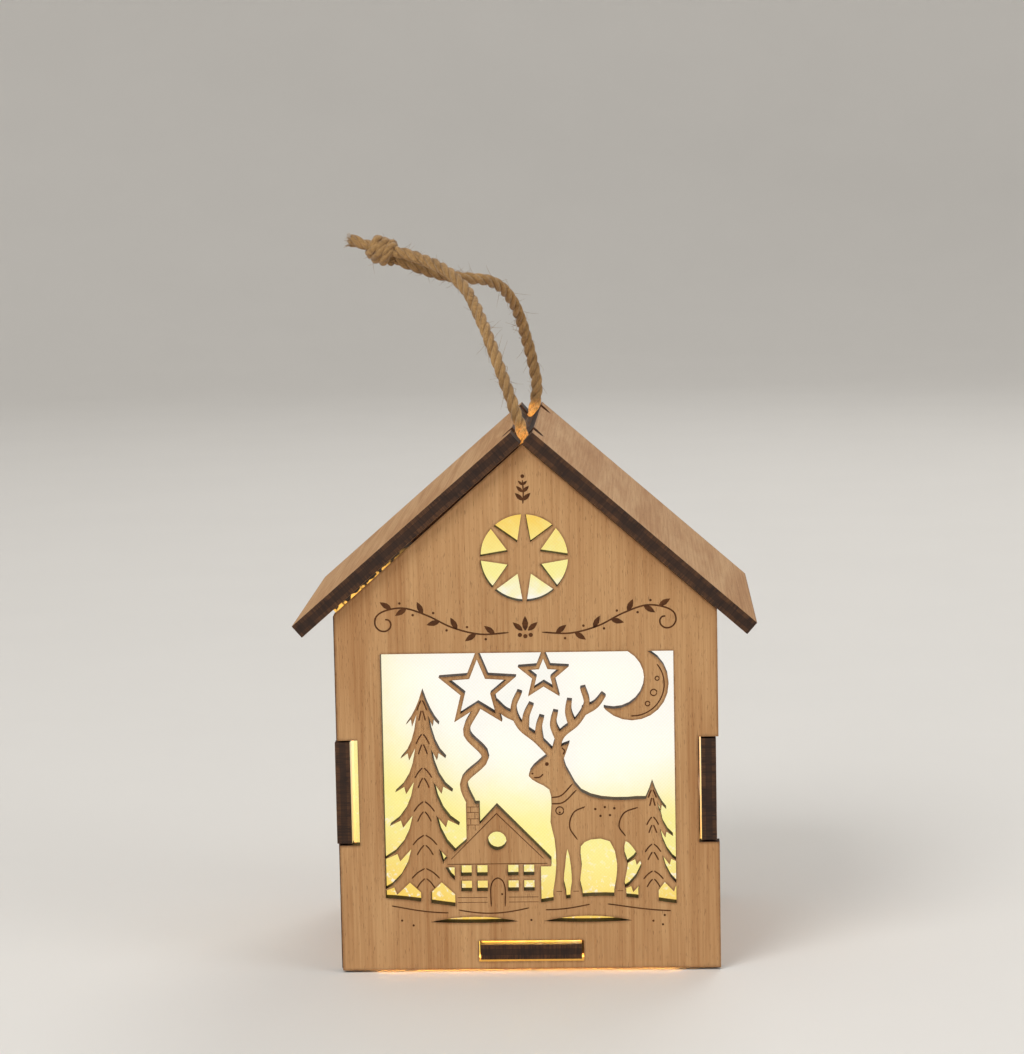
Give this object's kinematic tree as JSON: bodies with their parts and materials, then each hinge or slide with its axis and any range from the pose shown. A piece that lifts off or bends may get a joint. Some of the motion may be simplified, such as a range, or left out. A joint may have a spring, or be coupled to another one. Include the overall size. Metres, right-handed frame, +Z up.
{
  "type": "light-up house ornament",
  "caption": "Small slotted plywood house with a fretwork front, lit from inside by an LED light module pushed into its floor, on a twine hanging loop.",
  "frame": {"origin": "on the table surface, under the middle of the house", "axes": "+Z up, +X to the right seen from the front, the fretwork gable faces -Y"},
  "size_m": [0.0727, 0.054, 0.1175],
  "materials": {
    "plywood": "sanded natural plywood with dark laser-cut edges",
    "diffuser": "translucent fine-textured sheet, lit from behind",
    "twine": "twisted jute, slightly hairy",
    "module_plastic": "moulded satin",
    "cell_steel": "bright plated can",
    "contact_metal": "sprung strip",
    "led_epoxy": "clear moulded epoxy",
    "lead_wire": "tinned wire",
    "flame_lens": "frosted translucent moulding",
    "switch_plastic": "moulded black",
    "slider_plastic": "moulded satin"
  },
  "bodies": {
    "house": {"front_panel": "plywood", "back_panel": "plywood", "side_panel_left": "plywood", "side_panel_right": "plywood", "floor_panel": "plywood", "roof_panel_left": "plywood", "roof_panel_right": "plywood", "front_diffuser": "diffuser", "back_diffuser": "diffuser", "left_diffuser": "diffuser", "right_diffuser": "diffuser", "twine_front_leg": "twine", "twine_rear_leg": "twine", "twine_inner_run": "twine", "twine_knot": "twine"},
    "light_module": {"module_cup": "module_plastic", "module_base": "module_plastic", "coin_cell": "cell_steel", "contact_negative": "contact_metal", "contact_positive": "contact_metal", "led_bulb": "led_epoxy", "led_lead_cathode": "lead_wire", "led_lead_anode": "lead_wire", "flame_lens": "flame_lens", "switch_body": "switch_plastic"},
    "battery_door": {"battery_door": "module_plastic"},
    "switch_slider": {"switch_slider": "slider_plastic"}
  },
  "joints": [
    {"name": "house_lift_off", "type": "slide", "parent": "light_module", "child": "house", "axis": [0, 0, 1], "range_m": [0, 0.045]},
    {"name": "battery_door_hinge", "type": "hinge", "parent": "light_module", "child": "battery_door", "pos_m": [-0.0154, 0, 0.0015], "axis": [0, 1, 0], "range_deg": [0, 90]},
    {"name": "switch_slide", "type": "slide", "parent": "light_module", "child": "switch_slider", "axis": [0, 1, 0], "range_m": [-0.002, 0]}
  ]
}
